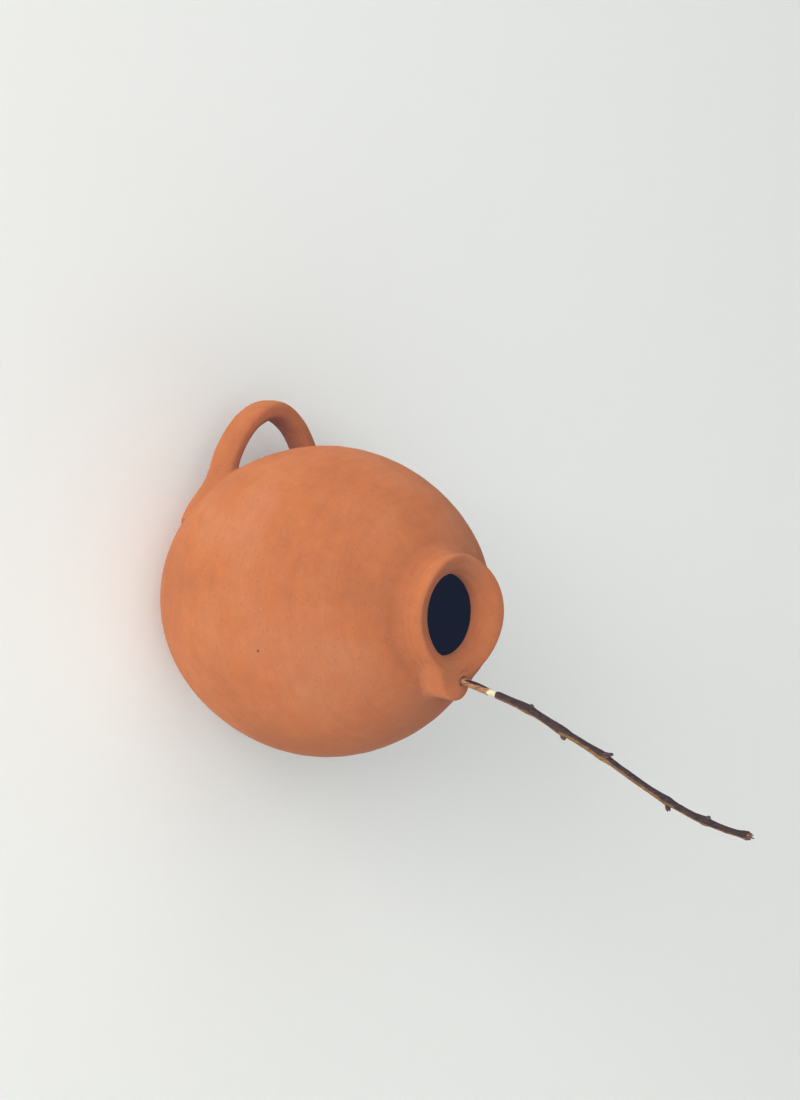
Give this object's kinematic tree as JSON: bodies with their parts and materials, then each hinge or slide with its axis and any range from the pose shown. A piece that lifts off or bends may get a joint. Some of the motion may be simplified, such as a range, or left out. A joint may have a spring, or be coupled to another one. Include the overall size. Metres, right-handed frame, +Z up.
{
  "type": "terracotta bird nesting pot",
  "caption": "Round terracotta pot that hangs on a wall by a strap handle, with a rolled mouth facing out and a twig perch pushed into a lug below it.",
  "frame": {"origin": "middle of the flat back, where the pot meets the wall, on the axis that it was thrown about", "axes": "+Z up as it hangs, +Y into the wall, so the mouth looks along -Y, and +X to the right of someone facing the mouth"},
  "size_m": [0.17, 0.356, 0.2035],
  "materials": {
    "terracotta": "unglazed, matt",
    "peeled_wood": "bare",
    "bark": "rough bark",
    "bud_scale": "rough bark"
  },
  "bodies": {
    "pot": {"back_disc": "terracotta", "belly_shell": "terracotta", "neck_collar": "terracotta", "rim": "terracotta", "perch_lug": "terracotta", "strap_handle": "terracotta"},
    "perch": {"twig_wood": "peeled_wood", "twig_bark": "bark", "twig_spurs": "bud_scale"}
  },
  "joints": [
    {"name": "perch_pull", "type": "slide", "parent": "pot", "child": "perch", "axis": [0, -0.9744, -0.225], "range_m": [0, 0.03]}
  ]
}
